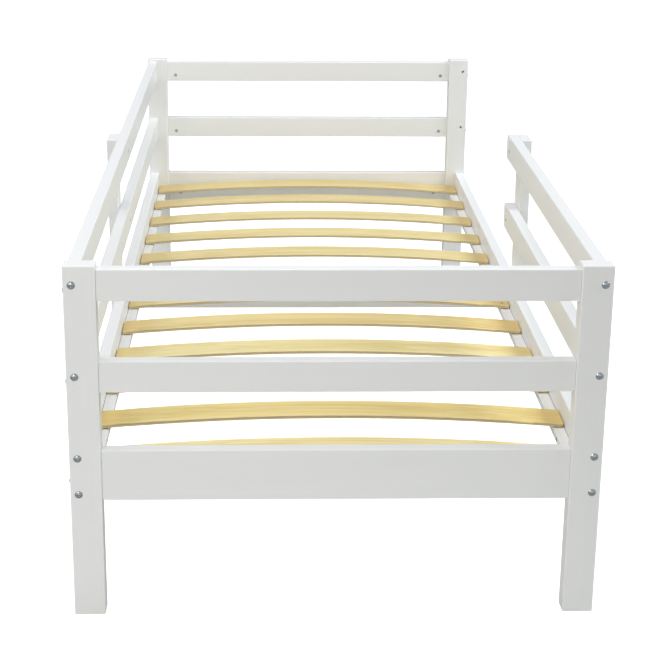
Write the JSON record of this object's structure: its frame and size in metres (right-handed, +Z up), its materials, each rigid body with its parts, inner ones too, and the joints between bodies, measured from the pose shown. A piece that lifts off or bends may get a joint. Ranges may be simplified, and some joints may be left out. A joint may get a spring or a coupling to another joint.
{
  "type": "single bed frame with guard rails",
  "caption": "White timber single bed for a young child, with end rails, a full guard rail on one side, a half guard rail on the other, and bowed wooden slats.",
  "frame": {"origin": "on the floor, at the middle of the rectangle that the bed covers", "axes": "+Z up; +Y along the bed towards the head end; +X towards the bed's right side as seen from the foot end, the side with the half guard rail"},
  "size_m": [1.0284, 2.0864, 0.69],
  "materials": {
    "painted_pine": "white lacquer on pine, satin, faint grain",
    "slat_wood": "clear-finished laminated birch, satin",
    "bolt_steel": "bright zinc plate",
    "nut_steel": "zinc plate",
    "dowel_wood": "plain beech",
    "screw_steel": "dull zinc plate"
  },
  "bodies": {
    "root": {"back_post_left": "painted_pine", "back_post_right": "painted_pine", "front_post_left": "painted_pine", "front_post_right": "painted_pine", "mid_post_left": "painted_pine", "mid_post_right": "painted_pine", "back_rail_top": "painted_pine", "back_rail_middle": "painted_pine", "back_rail_bed": "painted_pine", "front_rail_top": "painted_pine", "front_rail_middle": "painted_pine", "front_rail_bed": "painted_pine", "left_guard_top": "painted_pine", "left_guard_middle": "painted_pine", "left_bed_rail": "painted_pine", "right_guard_top": "painted_pine", "right_guard_middle": "painted_pine", "right_bed_rail": "painted_pine", "left_ledge": "painted_pine", "right_ledge": "painted_pine", "cross_beam": "painted_pine", "slat_01": "slat_wood", "slat_02": "slat_wood", "slat_03": "slat_wood", "slat_04": "slat_wood", "slat_05": "slat_wood", "slat_06": "slat_wood", "slat_07": "slat_wood", "slat_08": "slat_wood", "slat_09": "slat_wood", "slat_10": "slat_wood", "slat_11": "slat_wood", "slat_12": "slat_wood", "end_rail_bolts": "bolt_steel", "side_rail_bolts": "bolt_steel", "mid_post_bolts": "bolt_steel", "end_barrel_nuts": "nut_steel", "side_barrel_nuts": "nut_steel", "mid_post_inserts": "nut_steel", "end_rail_dowels": "dowel_wood", "side_rail_dowels": "dowel_wood", "ledge_screws": "screw_steel", "beam_screws": "screw_steel", "slat_screw": "screw_steel"}
  },
  "joints": []
}
